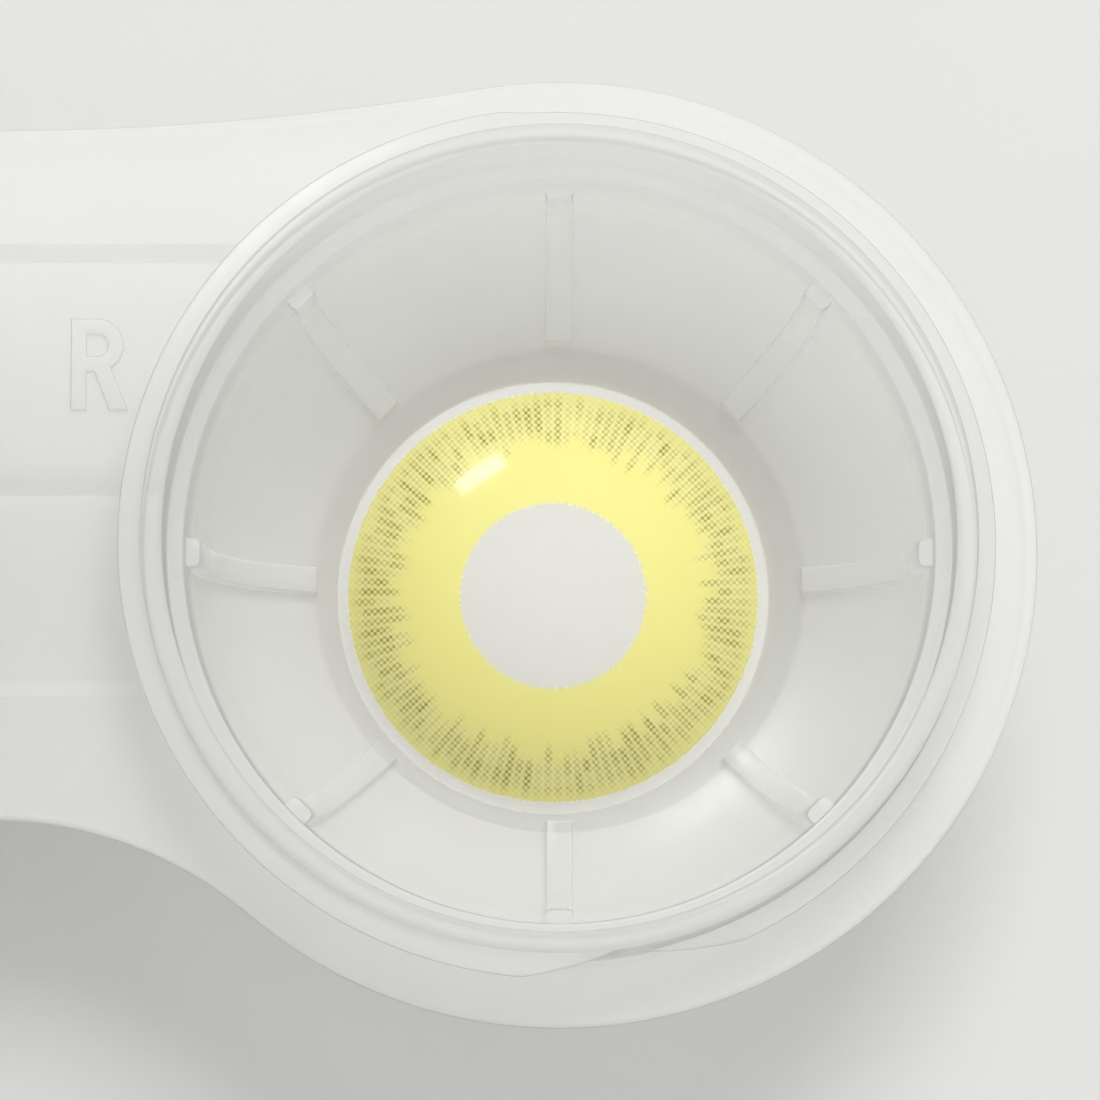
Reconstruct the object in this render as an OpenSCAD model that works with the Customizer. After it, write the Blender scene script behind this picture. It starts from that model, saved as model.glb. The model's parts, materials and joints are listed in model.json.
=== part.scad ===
// Twin-well screw-cap contact lens case, +Z up, standing on z = 0, origin under the middle of the bridge.
// The right well is open with a lens in it and its cap lies in front; the left well is closed.

/* [Base] */
// Distance between the two well axes
well_spacing = 36.5; // [35.5:0.1:40]
// Radius of the round plate about each well
lobe_r = 15.4; // [15.2:0.1:17]
// Half-width of the bridge's waist at the back
waist_back = 13.8; // [11:0.1:14.4]
// Half-width of the bridge's waist at the front
waist_front = 8.7; // [8:0.1:12]
// Height of the plate's top above the table
plate_top = 9.2; // [8.8:0.1:11]
// Thickness of the plate
plate_t = 1.5; // [1.2:0.1:2]
// Wall thickness of the wells
wall_t = 1.1; // [0.8:0.05:1.3]

/* [Wells] */
// Radius of the bowl at its ledge
bowl_r = 12.1; // [11.8:0.05:12.2]
// Radius of the hollow curve between the bowl's wall and its floor
bowl_curve_r = 6; // [5:0.1:6.5]
// Height of the bowl's floor above the table
floor_z = 1.7; // [1.5:0.05:2]
// Height of the foot ring under each well
foot_h = 0.5; // [0.3:0.05:0.6]
// Number of lens ribs in each bowl
rib_count = 8; // [4:2:12]
// Width of a lens rib
rib_w = 0.9; // [0.6:0.05:1.2]
// How far a lens rib stands proud of the bowl
rib_proud = 0.5; // [0.3:0.05:0.7]
// Distance from the well's axis to a rib's inner end
rib_inner_r = 7.9; // [7.8:0.1:8.5]

/* [Neck] */
// Height of the neck's rim above the plate
neck_h = 3.4; // [3.3:0.05:3.8]
// Inner radius of the neck
neck_in_r = 12.65; // [12.6:0.05:12.7]
// Outer radius of the neck's wall
neck_out_r = 13.35; // [13.3:0.05:13.4]
// Radius of the thread's crest
crest_r = 14.1; // [14.05:0.05:14.15]
// Rise of the thread in one turn
pitch = 2.1; // [2:0.05:2.2]

/* [Caps] */
// Outer radius of a cap between its grip ridges
cap_r = 15.55; // [15.5:0.05:15.8]
// Thickness of a cap's top
cap_top_t = 1.3; // [1.1:0.1:1.6]
// Number of grip ridges round a cap
grip_count = 44; // [24:2:52]
// Distance from the right well's axis to the loose cap's axis
loose_cap_gap = 37.2; // [36.5:0.1:50]

/* [Lenses] */
// Diameter of a lens
lens_d = 14.3; // [13.8:0.1:14.4]
// Radius of a lens's back surface
base_curve = 8.6; // [8.4:0.1:9]
// Thickness of a lens
lens_t = 0.16; // [0.1:0.02:0.2]

/* [Hidden] */

smooth = 96;
half_s = well_spacing / 2;
overlap = 0.05;

// The bridge's sides are arcs that meet the lobes smoothly. Each bites into them a little, so they cross.
bite = 0.02;
function side_arc_r(waist) = (half_s^2 + waist^2 - lobe_r^2) / (2 * (lobe_r - waist));
back_arc_r = side_arc_r(waist_back);
front_arc_r = side_arc_r(waist_front);

panel_y = [-4.45, 9.9];
panel_depth = 0.35;
panel_gap = 0.35;
web_y = [2, 3];
web_depth = 3;
lip_h = 0.75;
lip_in = 0.35;

bowl_draft = 0.2;
curve_r0 = bowl_r - bowl_draft - bowl_curve_r;
curve_centre = [curve_r0, floor_z + bowl_curve_r];
ledge_z = plate_top + 0.3;
ledge_in = 0.3;
floor_t = floor_z - foot_h;
foot_r = 8.2;
foot_w = 1.1;
rib_root = 0.3;
rib_drop = 0.7;
rim_z = plate_top + neck_h;
rim_round = 0.25;
neck_foot = 0.35;

thread_root_h = 1.0;
thread_crest_h = 0.44;
thread_start = -80;
thread_z0 = plate_top + 0.75;
thread_turns = 1;
thread_sink = 0.2;
thread_taper = 0.04;
thread_end = 0.15;
seam_step = 0.12;
seam_a = 96;
steps_per_turn = 60;

cap_gap = 0.15;
cap_bottom = plate_top + cap_gap;
cap_in_r = 14.45;
cap_under = rim_z + 0.1;
cap_top = cap_under + cap_top_t;
cap_round = 1.0;
cap_foot = 0.3;
cap_lead_in = 0.35;
cap_crest_r = 13.75;
cap_thread_drop = 0.78;
cap_thread_from = 0.38;
cap_thread_to = 0.93;
plug_out_r = 12.5;
plug_w = 0.8;
plug_h = 1.5;
grip_r = 0.34;
grip_sink = 0.1;
grip_start = 0.5;
grip_run_out = 0.6;
grip_tip_r = 0.12;
dish_r = 12.6;
dish_depth = 0.4;
dish_slope = 0.6;

mark_size = 10;
mark_h = 0.3;
side_mark_size = 3;
side_mark_h = 0.2;
side_mark_pos = [3.3, 6.1];
// A letter's stroke, half-width and bowl radius, as shares of its height
letter_bar = 0.17;
letter_half_w = 0.28;
letter_bowl = 0.29;

lens_r = lens_d / 2;
lens_tilt = 7;
lens_pos = [-0.2, -0.65];
lens_lift = 0.4;
lens_z = floor_z + lens_lift + lens_r * sin(lens_tilt);

// Points of an arc about centre c, from angle a to angle b.
function arc(c, r, a, b, n) = [for (i = [0:n]) c + r * [cos(a + (b - a) * i / n), sin(a + (b - a) * i / n)]];

// Ring of trapezoid sections along a helix, as one closed solid.
module thread_ridge(root_r, tip_r, root_h, tip_h, z0, from, to, step = 0) {
    n = ceil((to - from) * steps_per_turn);
    points = [
        for (i = [0:n])
            let (
                t = from + (to - from) * i / n,
                a = thread_start + 360 * t,
                z = z0 + pitch * t,
                fade = min(1, (t - from) / thread_taper, (to - t) / thread_taper),
                past_seam = (a > seam_a && a < seam_a + 180) ? 0 : step,
                tip = root_r + (tip_r - past_seam - root_r) * max(thread_end, fade)
            )
            each [
                [root_r * cos(a), root_r * sin(a), z - root_h / 2],
                [tip * cos(a), tip * sin(a), z - tip_h / 2],
                [tip * cos(a), tip * sin(a), z + tip_h / 2],
                [root_r * cos(a), root_r * sin(a), z + root_h / 2]
            ]
    ];
    inward = tip_r < root_r;
    sides = [
        for (i = [0:n - 1])
            for (k = [0:3])
                let (p = 4 * i + k, q = 4 * i + (k + 1) % 4)
                each inward ? [[p, p + 4, q], [q, p + 4, q + 4]] : [[p, q, p + 4], [q, q + 4, p + 4]]
    ];
    last = 4 * n;
    ends = inward
        ? [[0, 1, 2], [0, 2, 3], [last, last + 2, last + 1], [last, last + 3, last + 2]]
        : [[0, 2, 1], [0, 3, 2], [last, last + 1, last + 2], [last, last + 2, last + 3]];
    polyhedron(points, concat(sides, ends));
}

// Copies of the children at both wells.
module at_wells() {
    for (side = [-1, 1]) {
        translate([side * half_s, 0, 0]) children();
    }
}

// Outline of the plate, pulled in by the given amount.
module plate_outline(inset = 0) {
    at_wells() circle(r = lobe_r - inset, $fn = smooth);
    difference() {
        translate([-half_s, -lobe_r]) square([well_spacing, 2 * lobe_r]);
        translate([0, waist_back + back_arc_r]) circle(r = back_arc_r + inset + bite, $fn = 240);
        translate([0, -waist_front - front_arc_r]) circle(r = front_arc_r + inset + bite, $fn = smooth);
        bridge_ends(inset);
    }
}

// What lies outside the bridge beyond the points where its side arcs meet the lobes.
module bridge_ends(inset) {
    back_x = half_s * (back_arc_r + inset) / (back_arc_r + lobe_r);
    front_x = half_s * (front_arc_r + inset) / (front_arc_r + lobe_r);
    for (side = [-1, 1]) {
        translate([side > 0 ? back_x : -back_x - half_s, 0]) square([half_s, 2 * lobe_r]);
        translate([side > 0 ? front_x : -front_x - half_s, -2 * lobe_r]) square([half_s, 2 * lobe_r]);
    }
}

// Section of a bowl's hollow: wall, hollow curve and floor, offset inwards by the given amount.
module bowl_section(off = 0, top = ledge_z) {
    polygon(concat(
        [[0, top], [0, floor_z + off]],
        arc(curve_centre, bowl_curve_r - off, -90, 0, 24),
        [[bowl_r - off, top]]
    ));
}

// Outer section of a well under the plate.
module well_section() {
    polygon(concat(
        [[0, plate_top], [0, foot_h]],
        arc(curve_centre, bowl_curve_r + floor_t, -90, 0, 24),
        [[bowl_r + wall_t, plate_top]]
    ));
}

module well_outside() {
    rotate_extrude($fn = smooth) well_section();
    difference() {
        cylinder(h = foot_h + floor_t / 2, r = foot_r, $fn = smooth);
        translate([0, 0, -1]) cylinder(h = 1 + foot_h + overlap, r = foot_r - foot_w, $fn = smooth);
    }
    rotate_extrude($fn = smooth) neck_section();
}

// Wall of the neck with a rounded rim.
module neck_section() {
    polygon(concat(
        [[bowl_r - ledge_in, plate_top - plate_t], [neck_out_r + neck_foot, plate_top - plate_t]],
        [[neck_out_r + neck_foot, plate_top], [neck_out_r, plate_top + neck_foot]],
        arc([neck_out_r - rim_round, rim_z - rim_round], rim_round, 0, 90, 6),
        arc([neck_in_r + rim_round, rim_z - rim_round], rim_round, 90, 180, 6),
        [[neck_in_r, ledge_z], [bowl_r - ledge_in, ledge_z]]
    ));
}

// Thin radial ribs that follow the bowl.
module lens_ribs() {
    intersection() {
        rotate_extrude($fn = smooth) {
            difference() {
                bowl_section(-rib_root, ledge_z - rib_drop);
                bowl_section(rib_proud, ledge_z);
                square([rib_inner_r, ledge_z]);
            }
        }
        for (i = [0:rib_count / 2 - 1]) {
            rotate([0, 0, i * 360 / rib_count]) {
                translate([-2 * bowl_r, -rib_w / 2, 0]) cube([4 * bowl_r, rib_w, ledge_z]);
            }
        }
    }
}

// Plate with a stepped edge and a shallow panel sunk between the necks.
module plate() {
    difference() {
        union() {
            translate([0, 0, plate_top - plate_t]) {
                linear_extrude(plate_t - lip_h / 2) plate_outline(lip_in);
            }
            translate([0, 0, plate_top - lip_h]) linear_extrude(lip_h) plate_outline();
        }
        translate([-half_s, panel_y[0], plate_top - panel_depth]) {
            difference() {
                cube([well_spacing, panel_y[1] - panel_y[0], 1]);
                translate([half_s, -panel_y[0], -1]) {
                    at_wells() cylinder(h = 3, r = neck_out_r + neck_foot + panel_gap, $fn = smooth);
                }
            }
        }
    }
}

// Stiffening web under the bridge, from well to well.
module web() {
    under = plate_top - plate_t;
    reach = half_s - bowl_r - wall_t / 2;
    translate([-reach, web_y[0], under - web_depth]) {
        cube([2 * reach, web_y[1] - web_y[0], web_depth + overlap]);
    }
}

// Raised letter L, as tall as the given size, centred.
module letter_l(size, h) {
    half_w = size * letter_half_w;
    translate([-half_w, -size / 2, 0]) cube([size * letter_bar, size, h]);
    translate([-half_w, -size / 2, 0]) cube([2 * half_w, size * letter_bar, h]);
}

// Raised letter R, as tall as the given size, centred.
module letter_r(size, h) {
    bar = size * letter_bar;
    bowl = size * letter_bowl;
    left = -size * letter_half_w;
    neck = size * (2 * letter_half_w - letter_bowl);
    translate([left, -size / 2, 0]) cube([bar, size, h]);
    translate([left + neck, size / 2 - bowl, 0]) {
        difference() {
            union() {
                cylinder(h = h, r = bowl, $fn = 48);
                translate([-neck, -bowl, 0]) cube([neck, 2 * bowl, h]);
            }
            translate([0, 0, -1]) cylinder(h = h + 2, r = bowl - bar, $fn = 48);
            translate([bar - neck, bar - bowl, -1]) cube([neck - bar, 2 * (bowl - bar), h + 2]);
        }
    }
    linear_extrude(h) {
        polygon([
            [left + size * 0.2, -size * 0.02], [left + size * 0.4, -size * 0.02],
            [left + size * 0.62, -size / 2], [left + size * 0.42, -size / 2]
        ]);
    }
}

module base() {
    color("whitesmoke") {
        difference() {
            union() {
                plate();
                at_wells() well_outside();
                web();
            }
            at_wells() rotate_extrude($fn = smooth) bowl_section(0, ledge_z + overlap);
            at_wells() translate([0, 0, ledge_z]) cylinder(h = 2 * neck_h, r = neck_in_r, $fn = smooth);
        }
        at_wells() {
            lens_ribs();
            thread_ridge(neck_out_r - thread_sink, crest_r, thread_root_h, thread_crest_h,
                thread_z0, 0, thread_turns, seam_step);
        }
        translate([0, side_mark_pos[1], plate_top - panel_depth - overlap]) {
            translate([-side_mark_pos[0], 0, 0]) letter_l(side_mark_size, side_mark_h + overlap);
            translate([side_mark_pos[0], 0, 0]) letter_r(side_mark_size, side_mark_h + overlap);
        }
    }
}

// Section of a cap's shell: rounded top with a shallow dish, skirt and seal plug.
module cap_section() {
    round_c = [cap_r - cap_round, cap_top - cap_round];
    polygon(concat(
        [[0, cap_under], [0, cap_top - dish_depth], [dish_r - dish_slope, cap_top - dish_depth]],
        [[dish_r, cap_top]],
        arc(round_c, cap_round, 90, 0, 10),
        [[cap_r, cap_bottom + cap_foot], [cap_r - cap_foot, cap_bottom]],
        [[cap_in_r + cap_lead_in, cap_bottom], [cap_in_r, cap_bottom + cap_lead_in]],
        [[cap_in_r, cap_under]]
    ));
    translate([plug_out_r - plug_w, cap_under - plug_h]) {
        polygon([
            [0.2, 0], [plug_w - 0.2, 0], [plug_w, 0.4],
            [plug_w, plug_h + overlap], [0, plug_h + overlap], [0, 0.3]
        ]);
    }
}

// Round grip ridges that slope away under the cap's rounded top edge.
module grips() {
    grip_h = cap_top - cap_bottom - cap_round - 2 * grip_start;
    for (i = [0:grip_count - 1]) {
        rotate([0, 0, (i + 0.5) * 360 / grip_count]) {
            translate([cap_r - grip_sink, 0, cap_bottom + grip_start]) {
                cylinder(h = grip_h, r = grip_r, $fn = 24);
                translate([0, 0, grip_h]) {
                    cylinder(h = grip_run_out, r1 = grip_r, r2 = grip_tip_r, $fn = 24);
                }
            }
        }
    }
}

// A cap in its closed place on a well at the origin.
module cap() {
    rotate_extrude($fn = smooth) cap_section();
    grips();
    thread_ridge(cap_in_r + thread_sink, cap_crest_r, thread_root_h, thread_crest_h,
        thread_z0 - cap_thread_drop, cap_thread_from, cap_thread_to);
}

module left_cap() {
    color("white") {
        translate([-half_s, 0, 0]) {
            cap();
            translate([0, 0, cap_top - dish_depth - overlap]) letter_l(mark_size, mark_h + overlap);
        }
    }
}

module right_cap() {
    color("white") {
        translate([half_s, -loose_cap_gap, -cap_bottom]) {
            cap();
            translate([0, 0, cap_top - dish_depth - overlap]) letter_r(mark_size, mark_h + overlap);
        }
    }
}

// A lens lying dome up, tipped a little towards the front of its well.
module lens() {
    edge_a = asin(lens_r / (base_curve + lens_t));
    translate([lens_pos[0], lens_pos[1], lens_z]) {
        rotate([lens_tilt, 0, 0]) translate([0, 0, -base_curve * cos(edge_a)]) {
            rotate_extrude($fn = smooth) {
                polygon(concat(
                    arc([0, 0], base_curve + lens_t, 90, 90 - edge_a, 24),
                    arc([0, 0], base_curve, 90 - edge_a, 90, 24)
                ));
            }
        }
    }
}

module left_lens() {
    color("khaki") translate([-half_s, 0, 0]) lens();
}

module right_lens() {
    color("khaki") translate([half_s, 0, 0]) lens();
}

base();
left_cap();
right_cap();
left_lens();
right_lens();
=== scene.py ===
import bpy
import bmesh
import json
import math
from mathutils import Matrix, Vector


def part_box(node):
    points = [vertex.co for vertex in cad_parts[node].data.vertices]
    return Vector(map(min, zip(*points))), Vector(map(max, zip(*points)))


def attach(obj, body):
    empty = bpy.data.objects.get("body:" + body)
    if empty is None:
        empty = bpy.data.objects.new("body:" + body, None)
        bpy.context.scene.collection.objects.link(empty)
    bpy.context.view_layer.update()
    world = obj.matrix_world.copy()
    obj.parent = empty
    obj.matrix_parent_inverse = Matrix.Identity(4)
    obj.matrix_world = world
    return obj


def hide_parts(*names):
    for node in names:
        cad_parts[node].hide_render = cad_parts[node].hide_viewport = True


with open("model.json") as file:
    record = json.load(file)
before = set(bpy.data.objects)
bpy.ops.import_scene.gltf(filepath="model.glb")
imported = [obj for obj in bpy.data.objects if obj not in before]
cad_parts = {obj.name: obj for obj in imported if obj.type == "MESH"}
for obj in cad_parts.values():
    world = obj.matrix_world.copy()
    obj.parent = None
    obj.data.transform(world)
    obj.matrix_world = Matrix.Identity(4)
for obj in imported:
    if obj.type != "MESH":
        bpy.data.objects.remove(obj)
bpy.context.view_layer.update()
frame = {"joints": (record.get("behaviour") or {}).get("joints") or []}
mm = 0.001
together = 0.0008     # mm, points nearer than this are one point
slack = 0.01          # mm, room left when places are compared

# pieces are modelled in millimetres and brought down to metres as they are finished
wellX = -frame["joints"][0]["pos_m"][0] / mm     # the first joint turns the left cap about its well's axis
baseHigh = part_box("base")[1] / mm
rimZ = baseHigh.z
lobeR = baseHigh.y
print("frame: wells at x", round(wellX, 3), "rim at z", round(rimZ, 3), "lobe radius", round(lobeR, 3))


# tools that several pieces share
def arcPoints(centre, radius, start, end, count):
    return [(centre[0] + radius * math.cos(math.radians(start + (end - start) * i / count)),
             centre[1] + radius * math.sin(math.radians(start + (end - start) * i / count)))
            for i in range(count + 1)]


def spinSection(points, steps, centre=(0, 0)):
    # turns an (r, z) section into a closed body of revolution
    bm = bmesh.new()
    verts = [bm.verts.new((centre[0] + r, centre[1], z)) for r, z in points]
    edges = [bm.edges.new(pair) for pair in zip(verts, verts[1:])]
    bmesh.ops.spin(bm, geom=verts + edges, cent=(centre[0], centre[1], 0), axis=(0, 0, 1),
                   angle=math.tau, steps=steps, use_merge=True)
    bmesh.ops.remove_doubles(bm, verts=bm.verts, dist=together)
    bmesh.ops.recalc_face_normals(bm, faces=bm.faces)
    return bm


def fillOutline(loops, z):
    # flat face from an outline and any holes in it
    bm = bmesh.new()
    for loop in loops:
        verts = [bm.verts.new((x, y, z)) for x, y in loop]
        for pair in zip(verts, verts[1:] + verts[:1]):
            bm.edges.new(pair)
    bmesh.ops.triangle_fill(bm, edges=bm.edges, use_beauty=True)
    return bm


def raiseFace(bm, height):
    # pulls a flat face up into a closed block
    grown = bmesh.ops.extrude_face_region(bm, geom=bm.faces[:], use_keep_orig=True)
    bmesh.ops.translate(bm, verts=[v for v in grown["geom"] if isinstance(v, bmesh.types.BMVert)],
                        vec=(0, 0, height))
    bmesh.ops.recalc_face_normals(bm, faces=bm.faces)
    return bm


def asObject(name, bm):
    mesh = bpy.data.meshes.new(name)
    bm.to_mesh(mesh)
    bm.free()
    obj = bpy.data.objects.new(name, mesh)
    bpy.context.scene.collection.objects.link(obj)
    return obj


def joinBodies(name, bodies):
    # several separate closed bodies as one object
    whole = bmesh.new()
    for bm in bodies:
        part = bpy.data.meshes.new("part")
        bm.to_mesh(part)
        bm.free()
        whole.from_mesh(part)
        bpy.data.meshes.remove(part)
    return asObject(name, whole)


def combine(obj, other, operation):
    # exact union or difference, applied, and the second object removed
    change = obj.modifiers.new("combine", "BOOLEAN")
    change.operation = operation
    change.solver = "EXACT"
    change.object = other
    evaluated = obj.evaluated_get(bpy.context.evaluated_depsgraph_get())
    mesh = bpy.data.meshes.new_from_object(evaluated)
    obj.modifiers.clear()
    old = obj.data
    obj.data = mesh
    bpy.data.meshes.remove(old)
    bpy.data.objects.remove(other)


def finishPiece(obj, name, body, node, material, sharp=32):
    # the exact solver can leave slivers with no area, or leave one out where a cut runs into a corner
    whole = bmesh.new()
    whole.from_mesh(obj.data)
    bmesh.ops.remove_doubles(whole, verts=whole.verts, dist=together)
    bmesh.ops.dissolve_degenerate(whole, edges=whole.edges, dist=together)
    bmesh.ops.triangulate(whole, faces=[f for f in whole.faces if len(f.verts) > 4])
    bmesh.ops.dissolve_degenerate(whole, edges=whole.edges, dist=together)
    bmesh.ops.edgenet_fill(whole, edges=[e for e in whole.edges if e.is_boundary])
    bmesh.ops.recalc_face_normals(whole, faces=whole.faces)
    openEdges = sum(1 for e in whole.edges if len(e.link_faces) != 2)
    whole.to_mesh(obj.data)
    whole.free()
    obj.data.transform(Matrix.Scale(mm, 4))
    obj.name = name
    obj.data.name = name
    obj.data.materials.clear()
    obj.data.materials.append(material)
    obj.data.shade_smooth()
    obj.data.set_sharp_from_angle(angle=math.radians(sharp))
    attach(obj, body)
    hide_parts(node)
    print("made", name, "with", len(obj.data.polygons), "faces,", openEdges, "open edges")


# materials
def hexColour(text):
    # sRGB hex to linear
    values = [int(text[i:i + 2], 16) / 255 for i in (1, 3, 5)]
    return tuple(v / 12.92 if v <= 0.04045 else ((v + 0.055) / 1.055) ** 2.4 for v in values) + (1.0,)


def addNode(tree, kind, settings=None, inputs=None):
    node = tree.nodes.new(kind)
    for key, value in (settings or {}).items():
        setattr(node, key, value)
    for key, value in (inputs or {}).items():
        if isinstance(value, bpy.types.NodeSocket):
            tree.links.new(value, node.inputs[key])
        else:
            node.inputs[key].default_value = value
    return node


def startMaterial(name):
    material = bpy.data.materials.new(name)
    material.use_nodes = True
    material.node_tree.nodes.clear()
    return material, material.node_tree


casePlastic = {
    # the grey is painted shade, on walls seen edge-on and on the neck tops
    "colour": "#FAFAFA", "cloud": "#F2F2F2", "paintedShade": "#B2B4B5",
    "roughness": 0.36, "ior": 1.49,
    "glossLow": 0.8, "glossHigh": 1.25,         # how far the cloudy streaks change the roughness
    "milkFaceOn": 0.48, "milkEdgeOn": 0.88,     # share of light that the haze stops, across and along a wall
    "alongFrom": 0.6,                           # facing value from which a wall counts as seen along
    "neckLow": 9.6, "neckHigh": 10.4,           # mm, above this the neck gets painted shade: darker and milkier, to dim where the key light from behind falls
    "neckShadeShare": 0.18,
    "cupLow": 7.6, "cupHigh": 9.2,              # mm, below this the cup walls get less painted shade and more haze, painted light that brightens the bowls
    "cupShadeKept": 0.08, "cupBrighteningMilk": 0.56,
    "glow": 0.44,          # share of the haze that passes light on instead of turning it back
    "cloudSize": 4.0,      # mm, slow change in haze from the way the melt flowed
    "rippleSize": 0.9,     # mm, faint sink and flow ripple
    "rippleDepth": 0.010,
}


def naturalPolypropylene():
    # injection moulded, unpigmented: milky and see-through, with a soft gloss and slow cloudy streaks
    material, tree = startMaterial("naturalPolypropylene")
    where = addNode(tree, "ShaderNodeTexCoord").outputs["Object"]
    cloud = addNode(tree, "ShaderNodeTexNoise", None,
                    {"Vector": where, "Scale": 1000 / casePlastic["cloudSize"], "Detail": 3.0,
                     "Roughness": 0.5, "Distortion": 0.4})
    ripple = addNode(tree, "ShaderNodeTexNoise", None,
                     {"Vector": where, "Scale": 1000 / casePlastic["rippleSize"], "Detail": 2.0,
                      "Roughness": 0.4})
    bump = addNode(tree, "ShaderNodeBump", None,
                   {"Height": ripple.outputs["Fac"], "Strength": 0.25,
                    "Distance": casePlastic["rippleDepth"] * mm})
    haze = addNode(tree, "ShaderNodeMix", {"data_type": "RGBA"},
                   {"Factor": cloud.outputs["Fac"], 6: hexColour(casePlastic["colour"]),
                    7: hexColour(casePlastic["cloud"])})
    # looking along a wall there is more plastic to see through, so it is milkier; the grey mixed in there is
    # painted shade for dark edge lines
    along = addNode(tree, "ShaderNodeLayerWeight", None, {"Blend": 0.5}).outputs["Facing"]
    edgeOn = addNode(tree, "ShaderNodeMapRange", {"interpolation_type": "SMOOTHSTEP"},
                     {"Value": along, "From Min": casePlastic["alongFrom"]}).outputs["Result"]
    height = addNode(tree, "ShaderNodeSeparateXYZ", None, {0: where}).outputs["Z"]
    # painted shade on the neck: darker and milkier with height
    neckShade = addNode(tree, "ShaderNodeMapRange", {"interpolation_type": "SMOOTHSTEP"},
                   {"Value": height, "From Min": casePlastic["neckLow"] * mm,
                    "From Max": casePlastic["neckHigh"] * mm, "To Max": casePlastic["neckShadeShare"]})
    seenAlongOrNeckShade = addNode(tree, "ShaderNodeMath", {"operation": "MAXIMUM"},
                    {0: edgeOn, 1: neckShade.outputs["Result"]}).outputs[0]
    # how much painted shade is kept: little inside the cups, where they are painted lighter
    paintedShadeKept = addNode(tree, "ShaderNodeMapRange", {"interpolation_type": "SMOOTHSTEP"},
                    {"Value": height, "From Min": casePlastic["cupLow"] * mm,
                     "From Max": casePlastic["cupHigh"] * mm, "To Min": casePlastic["cupShadeKept"]})
    # the share of painted shade mixed into the colour
    dark = addNode(tree, "ShaderNodeMath", {"operation": "MULTIPLY"},
                   {0: seenAlongOrNeckShade, 1: paintedShadeKept.outputs["Result"]}).outputs[0]
    colour = addNode(tree, "ShaderNodeMix", {"data_type": "RGBA"},
                     {"Factor": dark, 6: haze.outputs[2], 7: hexColour(casePlastic["paintedShade"])})
    # haze share looking straight in, raised in the cups as painted light
    faceOnMilkCupLit = addNode(tree, "ShaderNodeMapRange", None,
                     {"Value": paintedShadeKept.outputs["Result"], "From Min": casePlastic["cupShadeKept"],
                      "To Min": casePlastic["cupBrighteningMilk"], "To Max": casePlastic["milkFaceOn"]})
    share = addNode(tree, "ShaderNodeMapRange", None,
                    {"Value": seenAlongOrNeckShade, "To Min": faceOnMilkCupLit.outputs["Result"],
                     "To Max": casePlastic["milkEdgeOn"]}).outputs["Result"]
    gloss = addNode(tree, "ShaderNodeMapRange", None,
                    {"Value": cloud.outputs["Fac"], "From Min": 0.3, "From Max": 0.7,
                     "To Min": casePlastic["roughness"] * casePlastic["glossLow"],
                     "To Max": casePlastic["roughness"] * casePlastic["glossHigh"]})
    skin = addNode(tree, "ShaderNodeBsdfPrincipled", None,
                   {"Base Color": colour.outputs[2], "Roughness": gloss.outputs["Result"],
                    "IOR": casePlastic["ior"], "Normal": bump.outputs["Normal"]})
    glow = addNode(tree, "ShaderNodeBsdfTranslucent", None,
                   {"Color": colour.outputs[2], "Normal": bump.outputs["Normal"]})
    milk = addNode(tree, "ShaderNodeMixShader", None, {1: skin.outputs[0], 2: glow.outputs[0]})
    milk.inputs[0].default_value = casePlastic["glow"]
    clear = addNode(tree, "ShaderNodeBsdfTransparent")
    body = addNode(tree, "ShaderNodeMixShader", None, {0: share, 1: clear.outputs[0], 2: milk.outputs[0]})
    addNode(tree, "ShaderNodeOutputMaterial", None, {"Surface": body.outputs[0]})
    return material


capPlastic = {
    "colour": "#E9E9E7", "shade": "#DFE0DD",
    "roughness": 0.38, "ior": 1.49,
    "grainSize": 0.16,     # mm, spark-eroded grain drawn coarser than the real 0.05 so that it shows
    "grainDepth": 0.006,
    "flowSize": 7.0,       # mm
    "glossLow": 0.85, "glossHigh": 1.2,
    "softness": 0.25, "softDepth": 0.0012, "softTint": (1.0, 0.95, 0.85),
}


def whitePolypropylene():
    # injection moulded with white pigment: soft and slightly waxy, with a fine even grain
    material, tree = startMaterial("whitePolypropylene")
    where = addNode(tree, "ShaderNodeTexCoord").outputs["Object"]
    flow = addNode(tree, "ShaderNodeTexNoise", None,
                   {"Vector": where, "Scale": 1000 / capPlastic["flowSize"], "Detail": 4.0,
                    "Roughness": 0.55})
    grain = addNode(tree, "ShaderNodeTexNoise", None,
                    {"Vector": where, "Scale": 1000 / capPlastic["grainSize"], "Detail": 2.0,
                     "Roughness": 0.6})
    bump = addNode(tree, "ShaderNodeBump", None,
                   {"Height": grain.outputs["Fac"], "Strength": 0.35,
                    "Distance": capPlastic["grainDepth"] * mm})
    colour = addNode(tree, "ShaderNodeMix", {"data_type": "RGBA"},
                     {"Factor": flow.outputs["Fac"], 6: hexColour(capPlastic["colour"]),
                      7: hexColour(capPlastic["shade"])})
    gloss = addNode(tree, "ShaderNodeMapRange", None,
                    {"Value": flow.outputs["Fac"], "From Min": 0.3, "From Max": 0.7,
                     "To Min": capPlastic["roughness"] * capPlastic["glossLow"],
                     "To Max": capPlastic["roughness"] * capPlastic["glossHigh"]})
    surface = addNode(tree, "ShaderNodeBsdfPrincipled", None,
                      {"Base Color": colour.outputs[2], "Roughness": gloss.outputs["Result"],
                       "IOR": capPlastic["ior"], "Subsurface Weight": capPlastic["softness"],
                       "Subsurface Scale": capPlastic["softDepth"],
                       "Subsurface Radius": capPlastic["softTint"], "Normal": bump.outputs["Normal"]})
    addNode(tree, "ShaderNodeOutputMaterial", None, {"Surface": surface.outputs[0]})
    return material


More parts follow.
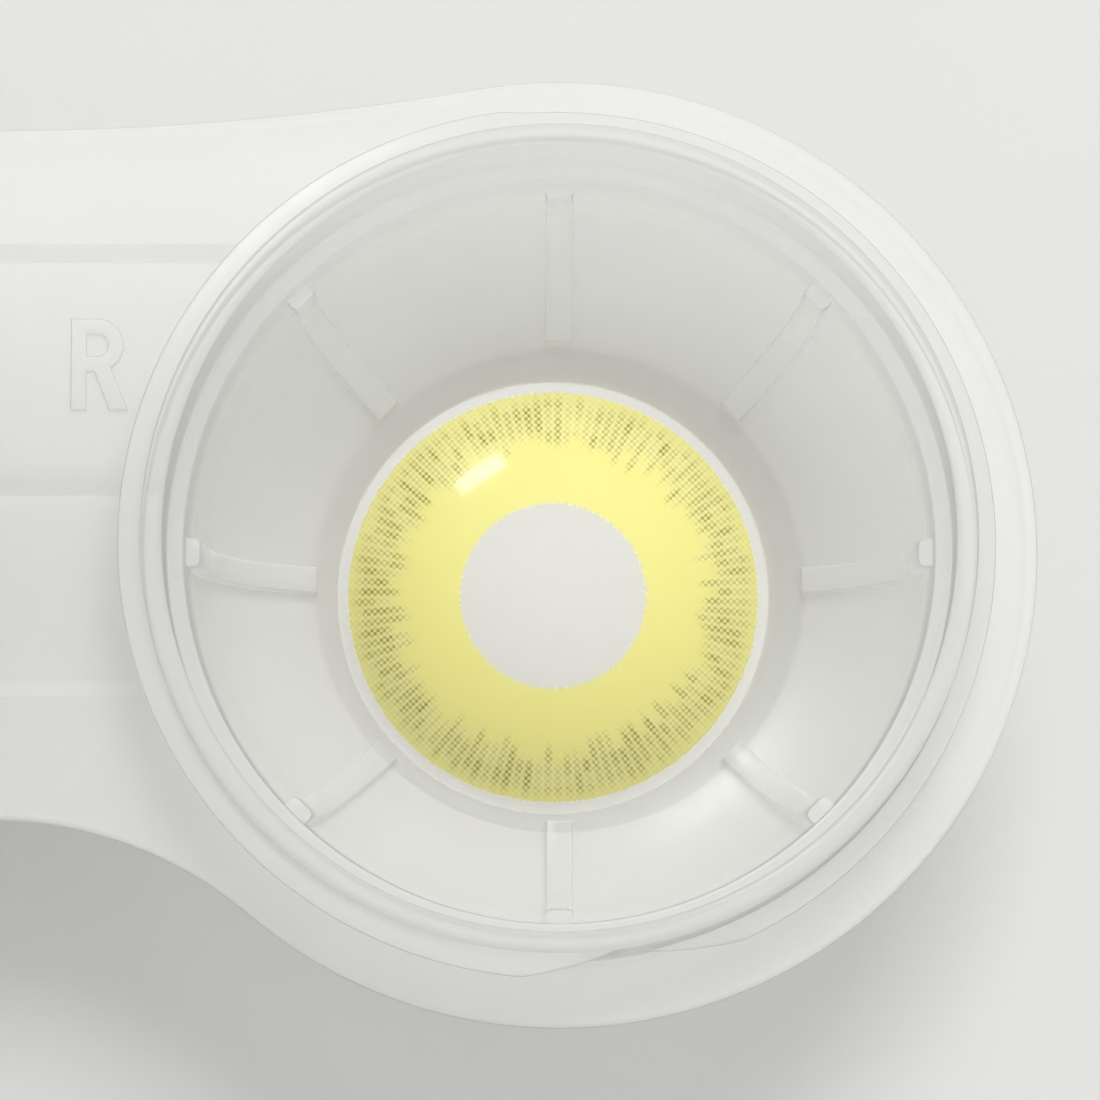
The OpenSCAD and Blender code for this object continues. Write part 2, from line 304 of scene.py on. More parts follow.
lensPiece = {
    "tilt": 7.0, "radius": 7.15, "baseCurve": 8.6, "thickness": 0.16,
    "lipIn": 0.13, "lipRound": 0.35, "lipThin": 0.06, "lipUp": 0.03,
    "printOuter": 6.72, "pupil": 3.04, "pupilSoft": 0.1,
    "bandInner": 4.75, "bandFull": 5.45, "bandFade": 6.15,    # where the dark dots begin, are full, thin out
    # the gel inside the pupil is painted greyer, as shade in place of the lens's own shadow
    "print": "#F6F2A6", "printPale": "#FAF7C0", "ink": "#A9A235", "gel": "#FCFCFC", "pupilShadeGel": "#EBECF2",
    "dotPitch": 0.21, "dashCount": 112, "dashStagger": 0.75, "ringsPerMm": 2.4,
    "edgeSoft": 0.12, "wander": 0.12, "wandersPerMm": 6.0,    # the ring's edges are soft and uneven
    "ior": 1.41, "printRough": 0.22, "gelRough": 0.05,
    "printCoat": 0.6, "printCoatRough": 0.05, "gelCoat": 0.4, "gelCoatRough": 0.03,
    "printThrough": 0.10, "printGlow": 0.36, "gelMilk": 0.30,
    "steps": 192,
}


def printedHydrogel(name, place):
    # cast soft lens: wet clear gel, with a pale yellow ring of fine printed dots and darker radial dashes
    material, tree = startMaterial(name)
    maths = "ShaderNodeMath"
    scaled = "ShaderNodeMapRange"
    eased = {"interpolation_type": "SMOOTHSTEP"}
    where = addNode(tree, "ShaderNodeTexCoord").outputs["Object"]
    local = addNode(tree, "ShaderNodeMapping", {"vector_type": "TEXTURE"},
                    {"Vector": where, "Location": tuple(place * mm),
                     "Rotation": (math.radians(lensPiece["tilt"]), 0, 0), "Scale": (mm, mm, mm)})
    across = addNode(tree, "ShaderNodeSeparateXYZ", None, {0: local.outputs[0]}).outputs
    flat = addNode(tree, "ShaderNodeCombineXYZ", None, {"X": across["X"], "Y": across["Y"]})
    radius = addNode(tree, "ShaderNodeVectorMath", {"operation": "LENGTH"},
                     {0: flat.outputs[0]}).outputs["Value"]
    angle = addNode(tree, maths, {"operation": "ARCTAN2"}, {0: across["Y"], 1: across["X"]}).outputs[0]

    # the ring itself, its edges a little uneven
    uneven = addNode(tree, "ShaderNodeTexNoise", {"noise_dimensions": "2D"},
                     {"Vector": flat.outputs[0], "Scale": lensPiece["wandersPerMm"],
                      "Detail": 2.0}).outputs["Fac"]
    edge = addNode(tree, maths, {"operation": "MULTIPLY_ADD"},
                   {0: uneven, 1: lensPiece["wander"], 2: radius}).outputs[0]
    outside = addNode(tree, scaled, eased,
                      {"Value": edge, "From Min": lensPiece["pupil"],
                       "From Max": lensPiece["pupil"] + lensPiece["pupilSoft"]}).outputs[0]
    within = addNode(tree, scaled, eased, {"Value": edge, "From Min": lensPiece["printOuter"],
                                           "From Max": lensPiece["printOuter"] + lensPiece["edgeSoft"],
                                           "To Min": 1.0, "To Max": 0.0}).outputs[0]
    inRing = addNode(tree, maths, {"operation": "MULTIPLY"}, {0: outside, 1: within}).outputs[0]

    # dashes: each step of angle has a strength and a start of its own
    turn = addNode(tree, maths, {"operation": "MULTIPLY"},
                   {0: angle, 1: lensPiece["dashCount"] / math.tau}).outputs[0]
    cell = addNode(tree, maths, {"operation": "FLOOR"}, {0: turn}).outputs[0]
    alone = addNode(tree, "ShaderNodeTexWhiteNoise", {"noise_dimensions": "1D"}, {"W": cell})
    shifted = addNode(tree, maths, {"operation": "MULTIPLY_ADD"},
                      {0: alone.outputs["Value"], 1: -lensPiece["dashStagger"], 2: radius}).outputs[0]
    begun = addNode(tree, scaled, eased, {"Value": shifted, "From Min": lensPiece["bandInner"] - 0.25,
                                          "From Max": lensPiece["bandFull"] - 0.35}).outputs[0]
    thinned = addNode(tree, scaled, eased, {"Value": radius, "From Min": lensPiece["bandFade"],
                                            "From Max": lensPiece["printOuter"] - 0.05,
                                            "To Min": 1.0, "To Max": 0.2}).outputs[0]
    band = addNode(tree, maths, {"operation": "MULTIPLY"}, {0: begun, 1: thinned}).outputs[0]
    step = addNode(tree, maths, {"operation": "MULTIPLY"},
                   {0: radius, 1: lensPiece["ringsPerMm"]}).outputs[0]
    ring = addNode(tree, maths, {"operation": "FLOOR"}, {0: step}).outputs[0]
    spot = addNode(tree, "ShaderNodeCombineXYZ", None, {"X": cell, "Y": ring}).outputs[0]
    chance = addNode(tree, "ShaderNodeTexWhiteNoise", {"noise_dimensions": "2D"}, {"Vector": spot})
    strong = addNode(tree, scaled, None, {"Value": chance.outputs["Value"], "To Min": 0.25}).outputs[0]
    part = addNode(tree, maths, {"operation": "PINGPONG"}, {0: turn, 1: 0.5}).outputs[0]
    middle = addNode(tree, scaled, eased, {"Value": part, "From Min": 0.05, "From Max": 0.3,
                                           "To Min": 0.3, "To Max": 1.0}).outputs[0]
    dash = addNode(tree, maths, {"operation": "MULTIPLY"}, {0: strong, 1: middle}).outputs[0]

    # all of it printed in rows of dots that lie across the lens
    wave = math.tau / lensPiece["dotPitch"]
    alongX = addNode(tree, maths, {"operation": "MULTIPLY"}, {0: across["X"], 1: wave}).outputs[0]
    alongY = addNode(tree, maths, {"operation": "MULTIPLY"}, {0: across["Y"], 1: wave}).outputs[0]
    rows = addNode(tree, maths, {"operation": "SINE"}, {0: alongX}).outputs[0]
    columns = addNode(tree, maths, {"operation": "SINE"}, {0: alongY}).outputs[0]
    dots = addNode(tree, maths, {"operation": "MULTIPLY"}, {0: rows, 1: columns}).outputs[0]
    dotInk = addNode(tree, scaled, eased, {"Value": dots, "From Min": -0.35, "From Max": 0.4,
                                           "To Min": 0.12, "To Max": 1.0}).outputs[0]
    inked = addNode(tree, maths, {"operation": "MULTIPLY"}, {0: dash, 1: dotInk}).outputs[0]
    ink = addNode(tree, maths, {"operation": "MULTIPLY", "use_clamp": True}, {0: inked, 1: band}).outputs[0]
    gap = addNode(tree, scaled, eased, {"Value": dots, "From Min": -0.6, "From Max": 0.6,
                                        "To Min": 1.0, "To Max": 0.0}).outputs[0]
    pale = addNode(tree, maths, {"operation": "MULTIPLY"}, {0: gap, 1: band}).outputs[0]

    paper = addNode(tree, "ShaderNodeMix", {"data_type": "RGBA"},
                    {"Factor": pale, 6: hexColour(lensPiece["print"]), 7: hexColour(lensPiece["printPale"])})
    colour = addNode(tree, "ShaderNodeMix", {"data_type": "RGBA"},
                     {"Factor": ink, 6: paper.outputs[2], 7: hexColour(lensPiece["ink"])}).outputs[2]
    wet = addNode(tree, "ShaderNodeBsdfPrincipled", None,
                  {"Base Color": colour, "Roughness": lensPiece["printRough"], "IOR": lensPiece["ior"],
                   "Coat Weight": lensPiece["printCoat"], "Coat Roughness": lensPiece["printCoatRough"],
                   "Alpha": 1 - lensPiece["printThrough"]})
    glow = addNode(tree, "ShaderNodeBsdfTranslucent", None, {"Color": colour})
    printed = addNode(tree, "ShaderNodeMixShader", None, {1: wet.outputs[0], 2: glow.outputs[0]})
    printed.inputs[0].default_value = lensPiece["printGlow"]
    # painted shade: the pupil's gel mixed greyer than the rest
    gelWithPupilShade = addNode(tree, "ShaderNodeMix", {"data_type": "RGBA"},
                        {"Factor": outside, 6: hexColour(lensPiece["pupilShadeGel"]),
                         7: hexColour(lensPiece["gel"])})
    gel = addNode(tree, "ShaderNodeBsdfPrincipled", None,
                  {"Base Color": gelWithPupilShade.outputs[2], "Roughness": lensPiece["gelRough"],
                   "IOR": lensPiece["ior"], "Alpha": lensPiece["gelMilk"],
                   "Coat Weight": lensPiece["gelCoat"], "Coat Roughness": lensPiece["gelCoatRough"]})
    body = addNode(tree, "ShaderNodeMixShader", None, {0: inRing, 1: gel.outputs[0], 2: printed.outputs[0]})
    addNode(tree, "ShaderNodeOutputMaterial", None, {"Surface": body.outputs[0]})
    return material


caseMaterial = naturalPolypropylene()
capMaterial = whitePolypropylene()
print("materials done")


# the base: plate, cups with threaded necks, ribs, web and side marks, one moulding
base = {
    "waistBack": 13.8, "waistFront": 8.7,
    "plateTop": 9.2, "plateThick": 1.5, "lipHigh": 0.75, "lipIn": 0.35, "edgeRound": 0.16,
    "bowlR": 12.1, "bowlDraft": 0.2, "curveR": 6.0, "floorZ": 1.7, "wall": 1.1,
    "footHigh": 0.5, "footR": 8.2, "footWide": 1.1, "footEdge": 0.1,
    "neckIn": 12.65, "neckOut": 13.35, "neckRoot": 0.42, "rimRound": 0.28,
    "ledgeUp": 0.3, "ledgeCorner": 0.16, "ledgeRound": 0.14,
    "ribWide": 0.9, "ribProud": 0.5, "ribInner": 7.9, "ribDrop": 0.7, "ribRound": 0.18, "ribCount": 8,
    "crestR": 14.1, "seam": 96.0, "seamStep": 0.12,
    "panelBack": 9.45, "panelFront": -4.2, "panelDeep": 0.35, "panelR": 14.05, "panelSlope": 1.6,
    "webBack": 3.0, "webFront": 2.0, "webDeep": 3.0,
    "markSize": 3.0, "markX": 3.3, "markY": 6.1, "markHigh": 0.2,
    "steps": 192, "holeSteps": 96, "holeRoom": 0.4,
}
thread = {
    "pitch": 2.1, "start": -80.0, "up": 0.75, "rootHigh": 1.0, "tipHigh": 0.44, "sink": 0.2,
    "runOut": 0.045, "endHigh": 0.12, "crestRound": 0.09, "seamSoft": 0.06, "steps": 144,
}
curveX = base["bowlR"] - base["bowlDraft"] - base["curveR"]
curveZ = base["floorZ"] + base["curveR"]
outerCurve = base["curveR"] + base["floorZ"] - base["footHigh"]
ledgeZ = base["plateTop"] + base["ledgeUp"]


def sideArc(waist):
    return (wellX ** 2 + waist ** 2 - lobeR ** 2) / (2 * (lobeR - waist))


def plateOutline():
    # two round lobes joined by a shallow arc at the back and a deep one at the front
    back, front = sideArc(base["waistBack"]), sideArc(base["waistFront"])
    backAngle = math.degrees(math.atan2(base["waistBack"] + back, wellX))
    frontAngle = math.degrees(math.atan2(base["waistFront"] + front, wellX))
    rightLobe = arcPoints((wellX, 0), lobeR, frontAngle - 180, 180 - backAngle, 150)
    backSide = arcPoints((0, base["waistBack"] + back), back, -backAngle, backAngle - 180, 40)
    leftLobe = [(-x, y) for x, y in reversed(rightLobe)]
    frontSide = arcPoints((0, -base["waistFront"] - front), front, 180 - frontAngle, frontAngle, 40)
    return rightLobe + backSide[1:-1] + leftLobe + frontSide[1:-1]


def makePlate():
    steps = base["holeSteps"]
    holeR = base["bowlR"] + base["holeRoom"]     # hidden in the cups' walls
    holes = [arcPoints((side * wellX, 0), holeR, 0, 360 - 360 / steps, steps - 1) for side in (-1, 1)]
    bm = fillOutline([plateOutline()] + holes, base["plateTop"])
    raiseFace(bm, -base["lipHigh"])
    under = [f for f in bm.faces if f.normal.z < -0.9]
    bmesh.ops.inset_region(bm, faces=under, thickness=base["lipIn"], use_even_offset=True, use_boundary=True)
    under = [f for f in under if f.is_valid]
    grown = bmesh.ops.extrude_face_region(bm, geom=under)
    bmesh.ops.translate(bm, verts=[v for v in grown["geom"] if isinstance(v, bmesh.types.BMVert)],
                        vec=(0, 0, base["lipHigh"] - base["plateThick"]))
    bmesh.ops.delete(bm, geom=under, context="FACES")
    bmesh.ops.recalc_face_normals(bm, faces=bm.faces)
    rimEdges = [e for e in bm.edges if len(e.link_faces) == 2 and e.calc_face_angle(0) > 1.2
                and abs(abs(e.verts[0].co.x) - wellX) ** 2 + e.verts[0].co.y ** 2 > (base["bowlR"] + 1.5) ** 2
                and e.verts[0].co.z > base["plateTop"] - base["lipHigh"] - slack]
    bmesh.ops.bevel(bm, geom=rimEdges, offset=base["edgeRound"], offset_type="OFFSET", affect="EDGES",
                    segments=4, profile=0.5, material=-1, clamp_overlap=True)
    bmesh.ops.recalc_face_normals(bm, faces=bm.faces)
    return asObject("plate", bm)


def cupSection():
    footIn = base["footR"] - base["footWide"]
    footTop = curveZ - math.sqrt(outerCurve ** 2 - (base["footR"] - curveX) ** 2)
    footAngle = -math.degrees(math.acos((base["footR"] - curveX) / outerCurve))
    edge, rim, rootR = base["footEdge"], base["rimRound"], base["neckRoot"]
    corner, ledge = base["ledgeCorner"], base["ledgeRound"]
    points = [(0, base["footHigh"]), (footIn - edge, base["footHigh"]), (footIn, base["footHigh"] - edge)]
    points += [(footIn, edge), (footIn + edge, 0), (base["footR"] - edge, 0)]
    points += [(base["footR"], edge), (base["footR"], footTop - 0.08)]
    points += arcPoints((curveX, curveZ), outerCurve, footAngle + 1.5, 0, 28)
    # inside the plate, where the union hides it
    points += [(base["bowlR"] + base["wall"], base["plateTop"] - 0.7)]
    points += [(base["neckOut"] + rootR, base["plateTop"] - 0.5)]
    points += arcPoints((base["neckOut"] + rootR, base["plateTop"] + rootR - 0.02), rootR, 270, 180, 6)
    points += arcPoints((base["neckOut"] - rim, rimZ - rim), rim, 0, 90, 6)
    points += arcPoints((base["neckIn"] + rim, rimZ - rim), rim, 90, 180, 6)
    points += arcPoints((base["neckIn"] - 0.02 - corner, ledgeZ + corner), corner, 0, -90, 4)
    points += arcPoints((base["bowlR"] + ledge, ledgeZ - ledge), ledge, 90, 180, 4)
    points += arcPoints((curveX, curveZ), base["curveR"], 0, -90, 40)
    points += [(0, base["floorZ"])]
    return points


def threadRidge(centre, rootR, tipR, z0, first, last, seamStep):
    # trapezoid section swept up the helix, sunk in the wall, its ends run out
    pitch, runOut = thread["pitch"], thread["runOut"]
    turns = last - first
    count = round(thread["steps"] * turns)
    bm = bmesh.new()
    low, high = thread["rootHigh"] / 2, thread["tipHigh"] / 2
    section = [(rootR, -low), (tipR, -high), (tipR, high), (rootR, low)]
    verts = [bm.verts.new((r, 0, z)) for r, z in section]
    face = bm.faces.new(verts)
    bmesh.ops.spin(bm, geom=[face], cent=(0, 0, 0), axis=(0, 0, 1), angle=math.tau * turns,
                   dvec=(0, 0, pitch * turns / count), steps=count)
    reach = tipR - rootR
    for v in bm.verts:
        angle = math.atan2(v.co.y, v.co.x) / math.tau % 1.0
        t = angle + round((v.co.z - pitch * angle) / pitch)
        radius = math.hypot(v.co.x, v.co.y)
        if abs(radius - rootR) > slack:
            heading = (thread["start"] + 360 * (first + t)) % 360
            pastSeam = math.sin(math.radians(heading - base["seam"])) / thread["seamSoft"] + 0.5
            step = seamStep * (1 - min(1, max(0, pastSeam)))
            fade = min(1.0, (t + 0.004) / runOut, (turns - t + 0.004) / runOut)
            target = rootR + (reach - math.copysign(step, reach)) * max(thread["endHigh"], fade)
            v.co.x *= target / radius
            v.co.y *= target / radius
    bmesh.ops.rotate(bm, verts=bm.verts, cent=(0, 0, 0),
                     matrix=Matrix.Rotation(math.radians(thread["start"] + 360 * first), 3, "Z"))
    bmesh.ops.translate(bm, verts=bm.verts, vec=(centre[0], centre[1], z0 + pitch * first))
    bmesh.ops.recalc_face_normals(bm, faces=bm.faces)
    crest = [e for e in bm.edges if e.calc_face_angle(0) > 0.6
             and all(abs(math.hypot(v.co.x - centre[0], v.co.y - centre[1]) - rootR) > 0.02 for v in e.verts)]
    bmesh.ops.bevel(bm, geom=crest, offset=thread["crestRound"], offset_type="OFFSET", affect="EDGES",
                    segments=2, profile=0.5, material=-1, clamp_overlap=True)
    bmesh.ops.recalc_face_normals(bm, faces=bm.faces)
    return bm


def lensRib(side, index):
    # thin fin that follows the bowl's curve, its free edges rounded
    outer = arcPoints((curveX, curveZ), base["curveR"] + 0.35, 0, -78, 28)
    inner = arcPoints((curveX, curveZ), base["curveR"] - base["ribProud"], -90, 0, 36)
    top = ledgeZ - base["ribDrop"]
    inner = [p for p in inner if p[0] > base["ribInner"]]
    outer = [p for p in outer if p[0] > base["ribInner"] + 0.1]
    section = [(base["bowlR"] + 0.2, top)] + outer
    section += [(base["ribInner"] + 0.05, base["floorZ"] + 0.05)] + inner
    section += [(base["bowlR"] - base["ribProud"], top)]
    bm = bmesh.new()
    face = bm.faces.new([bm.verts.new((r, -base["ribWide"] / 2, z)) for r, z in section])
    grown = bmesh.ops.extrude_face_region(bm, geom=[face], use_keep_orig=True)
    bmesh.ops.translate(bm, verts=[v for v in grown["geom"] if isinstance(v, bmesh.types.BMVert)],
                        vec=(0, base["ribWide"], 0))
    bmesh.ops.recalc_face_normals(bm, faces=bm.faces)
    reach = base["curveR"] - 0.2     # the free edges are nearer than this to the curve's centre
    free = [e for e in bm.edges if e.calc_face_angle(0) > 1.0
            and abs(e.verts[0].co.y - e.verts[1].co.y) < slack
            and all(math.hypot(v.co.x - curveX, min(0, v.co.z - curveZ)) < reach for v in e.verts)]
    bmesh.ops.bevel(bm, geom=free, offset=base["ribRound"], offset_type="OFFSET", affect="EDGES",
                    segments=2, profile=0.5, material=-1, clamp_overlap=True)
    bmesh.ops.rotate(bm, verts=bm.verts, cent=(0, 0, 0),
                     matrix=Matrix.Rotation(math.tau * index / base["ribCount"], 3, "Z"))
    bmesh.ops.translate(bm, verts=bm.verts, vec=(side * wellX, 0, 0))
    return bm


def webBlock():
    bm = bmesh.new()
    reach = wellX - base["bowlR"] - base["wall"] / 2     # its ends are sunk halfway into the cups
    under = base["plateTop"] - base["plateThick"] - base["webDeep"]
    high = base["webDeep"] + 0.8     # the rest is sunk in the plate
    bmesh.ops.create_cube(bm, size=1.0)
    bmesh.ops.scale(bm, verts=bm.verts, vec=(2 * reach, base["webBack"] - base["webFront"], high))
    middle = (base["webBack"] + base["webFront"]) / 2
    bmesh.ops.translate(bm, verts=bm.verts, vec=(0, middle, under + high / 2))
    return bm


def panelCutter():
    # shallow panel between the two necks
    inBack = math.degrees(math.asin(base["panelBack"] / base["panelR"]))
    inFront = math.degrees(math.asin(base["panelFront"] / base["panelR"]))
    right = arcPoints((wellX, 0), base["panelR"], 180 - inFront, 180 - inBack, 40)
    left = [(-x, y) for x, y in reversed(right)]
    high = 1.0
    bm = raiseFace(fillOutline([right + left], base["plateTop"] - base["panelDeep"]), high)
    for v in bm.verts:
        if v.co.z > base["plateTop"] and abs(v.co.y - base["panelBack"]) < slack:
            v.co.y += high * base["panelSlope"]
        elif v.co.z > base["plateTop"] and abs(v.co.y - base["panelFront"]) < slack:
            v.co.y -= high * base["panelSlope"]
    return asObject("panel", bm)


# shares of a letter's height
letterParts = {
    "stroke": 0.17, "half": 0.28, "bowlUp": 0.21, "bowlOut": 0.29, "bevel": 0.38,
}


markSink = 0.1     # mm, a raised letter starts this far inside its wall


def letterBlock(letter, size, centre, z, height):
    w, h = letterParts["stroke"], letterParts["half"]
    if letter == "L":
        loops = [[(-h, -0.5), (h, -0.5), (h, w - 0.5), (w - h, w - 0.5), (w - h, 0.5), (-h, 0.5)]]
    else:
        centreUp, outR = letterParts["bowlUp"], letterParts["bowlOut"]
        bowlOut = arcPoints((0, centreUp), outR, -58, 90, 18)
        bowlIn = arcPoints((0, centreUp), outR - w, 90, -90, 14)
        loops = [[(-h, -0.5), (w - h, -0.5), (w - h, -0.08), (-0.03, -0.08), (0.14, -0.5), (0.34, -0.5)]
                 + bowlOut + [(-h, 0.5)], [(w - h, 0.33)] + bowlIn + [(w - h, 0.09)]]
    loops = [[(centre[0] + size * x, centre[1] + size * y) for x, y in loop] for loop in loops]
    bm = raiseFace(fillOutline(loops, z), height)
    top = [e for e in bm.edges if e.calc_face_angle(0) > 0.5
           and all(v.co.z > z + height - slack for v in e.verts)]
    bmesh.ops.bevel(bm, geom=top, offset=height * letterParts["bevel"], offset_type="OFFSET",
                    affect="EDGES", segments=2, profile=0.5, material=-1, clamp_overlap=True)
    return bm


def makeBase():
    moulding = makePlate()
    cups = [spinSection(cupSection(), base["steps"], (side * wellX, 0)) for side in (-1, 1)]
    combine(moulding, joinBodies("cups", cups), "UNION")
    print("cups joined to the plate")
    threads = [threadRidge((side * wellX, 0), base["neckOut"] - thread["sink"], base["crestR"],
                           base["plateTop"] + thread["up"], 0, 1, base["seamStep"]) for side in (-1, 1)]
    combine(moulding, joinBodies("threads", threads), "UNION")
    ribs = [lensRib(side, i) for side in (-1, 1) for i in range(base["ribCount"])]
    combine(moulding, joinBodies("ribs", ribs), "UNION")
    print("threads and ribs joined")
    combine(moulding, asObject("web", webBlock()), "UNION")
    combine(moulding, panelCutter(), "DIFFERENCE")
    low = base["plateTop"] - base["panelDeep"] - markSink
    marks = [letterBlock(letter, base["markSize"], (side * base["markX"], base["markY"]), low,
                         base["markHigh"] + markSink) for letter, side in (("L", -1), ("R", 1))]
    combine(moulding, joinBodies("marks", marks), "UNION")
    finishPiece(moulding, "caseBase", "base", "base", caseMaterial)


makeBase()


# the caps: rounded top with a shallow dish, gripped skirt, inner thread and seal plug
cap = {
    "radius": 15.55, "gap": 0.15, "inner": 14.45, "over": 0.1, "topThick": 1.3,
    "round": 1.0, "dishR": 12.6, "dishDeep": 0.4, "dishFoot": 0.5, "dishBrim": 0.4,
    "hemRound": 0.3, "leadIn": 0.35, "wallRows": 14,
    "plugOut": 12.5, "plugWide": 0.8, "plugHigh": 1.5,
    "crestR": 13.75, "drop": 0.78, "threadFrom": 0.38, "threadTo": 0.93,
    "grips": 44, "gripProud": 0.26, "gripSharp": 1.3, "gripUp": 0.45, "gripLow": 0.35, "gripHigh": 0.6,
    "markSize": 10.0, "markHigh": 0.3,
    "stepsPerGrip": 8,
}
capLow = base["plateTop"] + cap["gap"]
capUnder = rimZ + cap["over"]
capTop = capUnder + cap["topThick"]


def capSection():
    corner = (cap["radius"] - cap["round"], capTop - cap["round"])
    plugIn = cap["plugOut"] - cap["plugWide"]
    points = [(0, capTop - cap["dishDeep"])]
    foot, brim = cap["dishFoot"], cap["dishBrim"]
    points += arcPoints((cap["dishR"] - 0.75, capTop - cap["dishDeep"] + foot), foot, -90, -35, 5)
    points += arcPoints((cap["dishR"] + 0.25, capTop - brim), brim, 130, 90, 4)
    points += arcPoints(corner, cap["round"], 90, 0, 12)
    rows, hem, leadIn = cap["wallRows"], cap["hemRound"], cap["leadIn"]
    wallLow = capLow + hem
    points += [(cap["radius"], corner[1] + (wallLow - corner[1]) * i / rows) for i in range(1, rows)]
    points += arcPoints((cap["radius"] - hem, wallLow), hem, 0, -90, 4)
    points += [(cap["inner"] + leadIn, capLow), (cap["inner"], capLow + leadIn)]
    points += arcPoints((cap["inner"] - hem, capUnder - hem), hem, 0, 90, 4)
    plugLow = capUnder - cap["plugHigh"]
    points += [(cap["plugOut"] + 0.1, capUnder), (cap["plugOut"], capUnder - 0.1)]
    points += [(cap["plugOut"], plugLow + 0.4), (cap["plugOut"] - 0.2, plugLow)]
    points += [(plugIn + 0.2, plugLow), (plugIn, plugLow + 0.3)]
    points += [(plugIn, capUnder - 0.1), (plugIn - 0.1, capUnder), (0, capUnder)]
    return points


def makeCap(name, node, letter, centre, drop):
    bm = spinSection(capSection(), cap["grips"] * cap["stepsPerGrip"])
    low, high = capLow + cap["gripUp"], capTop - cap["round"] * 0.75
    for v in bm.verts:
        radius = math.hypot(v.co.x, v.co.y)
        if radius > cap["radius"] - 0.15 and low < v.co.z < high:
            wave = (0.5 + 0.5 * math.cos(cap["grips"] * math.atan2(v.co.y, v.co.x))) ** cap["gripSharp"]
            ends = min(1.0, (v.co.z - low) / cap["gripLow"], (high - v.co.z) / cap["gripHigh"])
            grown = 1 + cap["gripProud"] * wave * math.sqrt(max(0, ends)) / radius
            v.co.x *= grown
            v.co.y *= grown
    piece = asObject(name, bm)
    z0 = base["plateTop"] + thread["up"] - cap["drop"]
    ridge = threadRidge((0, 0), cap["inner"] + thread["sink"], cap["crestR"], z0,
                        cap["threadFrom"], cap["threadTo"], 0)
    combine(piece, asObject("ridge", ridge), "UNION")
    mark = letterBlock(letter, cap["markSize"], (0, 0), capTop - cap["dishDeep"] - markSink,
                       cap["markHigh"] + markSink)
    combine(piece, asObject("mark", mark), "UNION")
    piece.data.transform(Matrix.Translation((centre[0], centre[1], -drop)))
    finishPiece(piece, name, node, node, capMaterial)


leftLow, leftHigh = (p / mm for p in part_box("left_cap"))
rightLow, rightHigh = (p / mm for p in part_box("right_cap"))
makeCap("leftScrewCap", "left_cap", "L", (leftLow + leftHigh) / 2, capLow - leftLow.z)
makeCap("rightScrewCap", "right_cap", "R", (rightLow + rightHigh) / 2, capLow - rightLow.z)


# the lenses: thin printed domes lying in the wells
def makeLens(name, node):
    low, high = (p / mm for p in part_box(node))
    radius, inner = lensPiece["radius"], lensPiece["baseCurve"]
    outer = inner + lensPiece["thickness"]
    edge = math.degrees(math.asin(radius / outer))
    lift = (radius - lensPiece["lipIn"]) * math.sin(math.radians(lensPiece["tilt"]))
    place = Vector(((low.x + high.x) / 2, (low.y + high.y) / 2, low.z + lift))
    sink = inner * math.cos(math.radians(edge))
    last = 90 - edge + lensPiece["lipRound"]
    section = [(max(0.0, x), z - sink) for x, z in arcPoints((0, 0), outer, 90, last, 48)]
    section += [(radius - lensPiece["lipThin"], lensPiece["lipUp"])]
    section += [(max(0.0, x), z - sink) for x, z in arcPoints((0, 0), inner, last, 90, 48)]
    bm = spinSection(section, lensPiece["steps"])
    bmesh.ops.rotate(bm, verts=bm.verts, cent=(0, 0, 0),
                     matrix=Matrix.Rotation(math.radians(lensPiece["tilt"]), 3, "X"))
    bmesh.ops.translate(bm, verts=bm.verts, vec=place)
    lens = asObject(name, bm)
    lens.visible_shadow = False      # so thin and wet that it hardly dims the light on the bowl
    finishPiece(lens, name, node, node, printedHydrogel(name + "Hydrogel", place), sharp=60)


makeLens("leftContactLens", "left_lens")
makeLens("rightContactLens", "right_lens")


# floor, light and camera
studio = {
    "floorSize": 1.6, "floor": "#D7D7D5", "floorShade": "#D3D3D1",     # m
    "world": "#F2F2F2", "worldStrength": 0.83,
    "viewHeight": 81.5, "distance": 0.262, "frameWide": 35.4, "sensor": 36.0,
    "aim": (17.95, 0.0),
    # metres and watts
    "keyPlace": (0.136, 0.384, 0.573), "keyTarget": (0.018, 0, 0), "keySize": (0.32, 0.32), "keyPower": 2.8,
    "stripPlace": (-0.215, 0.375, 0.25), "stripTarget": (0.018, 0, 0.006),
    "stripSize": (0.17, 0.075), "stripPower": 3.0,
}


def paintedFloor():
    # smooth matt card
    material, tree = startMaterial("mattCard")
    where = addNode(tree, "ShaderNodeTexCoord").outputs["Object"]
    fibre = addNode(tree, "ShaderNodeTexNoise", None, {"Vector": where, "Scale": 40.0, "Detail": 3.0})
    colour = addNode(tree, "ShaderNodeMix", {"data_type": "RGBA"},
                     {"Factor": fibre.outputs["Fac"], 6: hexColour(studio["floor"]),
                      7: hexColour(studio["floorShade"])})
    surface = addNode(tree, "ShaderNodeBsdfPrincipled", None,
                      {"Base Color": colour.outputs[2], "Roughness": 0.75, "Specular IOR Level": 0.2})
    addNode(tree, "ShaderNodeOutputMaterial", None, {"Surface": surface.outputs[0]})
    return material


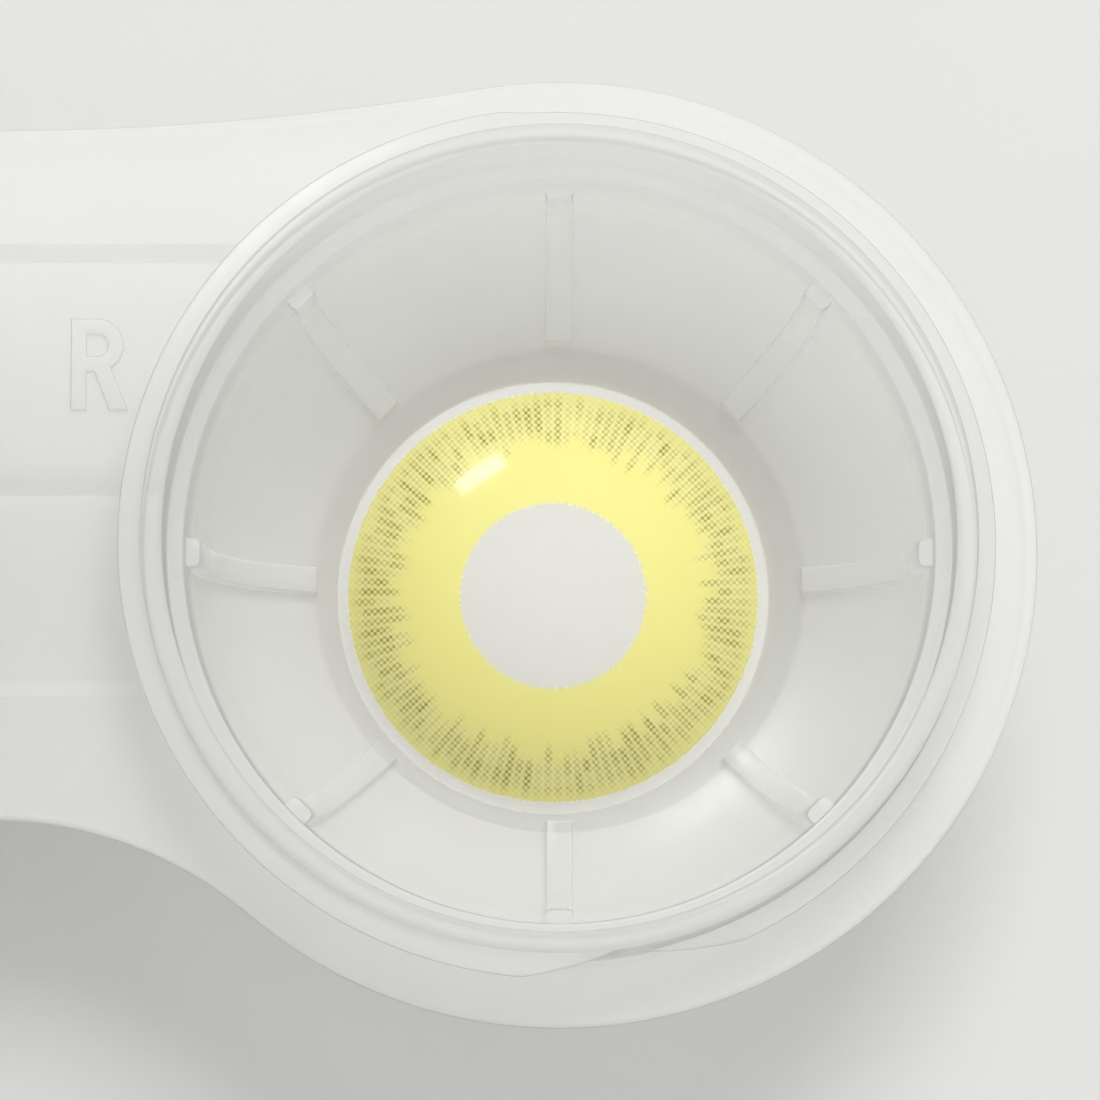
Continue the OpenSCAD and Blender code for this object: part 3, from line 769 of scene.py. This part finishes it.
def makeFloor():
    bm = bmesh.new()
    bmesh.ops.create_grid(bm, x_segments=1, y_segments=1, size=studio["floorSize"] / 2 / mm)
    floor = asObject("floor", bm)
    floor.data.transform(Matrix.Scale(mm, 4))
    floor.data.materials.append(paintedFloor())


def addLight(name, place, target, size, power, mirrored):
    # a mirrored light only shows in gloss, any other only lights
    data = bpy.data.lights.new(name, "AREA")
    data.shape = "RECTANGLE"
    data.size, data.size_y = size
    data.energy = power
    light = bpy.data.objects.new(name, data)
    bpy.context.scene.collection.objects.link(light)
    light.location = place
    light.rotation_euler = (Vector(target) - Vector(place)).to_track_quat("-Z", "Y").to_euler()
    light.visible_glossy = mirrored
    light.visible_diffuse = not mirrored


def makeStudio():
    world = bpy.data.worlds.new("studio")
    bpy.context.scene.world = world
    world.use_nodes = True
    background = world.node_tree.nodes["Background"]
    background.inputs["Color"].default_value = hexColour(studio["world"])
    background.inputs["Strength"].default_value = studio["worldStrength"]
    # a soft key from high behind, and a small strip at the left that the wet lens mirrors
    addLight("softKey", studio["keyPlace"], studio["keyTarget"], studio["keySize"], studio["keyPower"], False)
    addLight("stripLight", studio["stripPlace"], studio["stripTarget"], studio["stripSize"],
             studio["stripPower"], True)


def makeCamera():
    data = bpy.data.cameras.new("camera")
    camera = bpy.data.objects.new("camera", data)
    bpy.context.scene.collection.objects.link(camera)
    data.sensor_width = studio["sensor"]
    data.lens = studio["sensor"] * studio["distance"] / (studio["frameWide"] * mm)
    data.clip_start = 0.01
    data.clip_end = 10.0
    data.dof.use_dof = False
    tilt = math.radians(studio["viewHeight"])
    target = Vector((studio["aim"][0] * mm, studio["aim"][1] * mm, base["plateTop"] * mm))
    away = Vector((0, -math.cos(tilt), math.sin(tilt)))
    camera.location = target + away * studio["distance"]
    camera.rotation_euler = (-away).to_track_quat("-Z", "Y").to_euler()
    bpy.context.scene.camera = camera


makeFloor()
makeStudio()
makeCamera()
bpy.context.scene.view_settings.view_transform = "Standard"
print("floor, light and camera done")
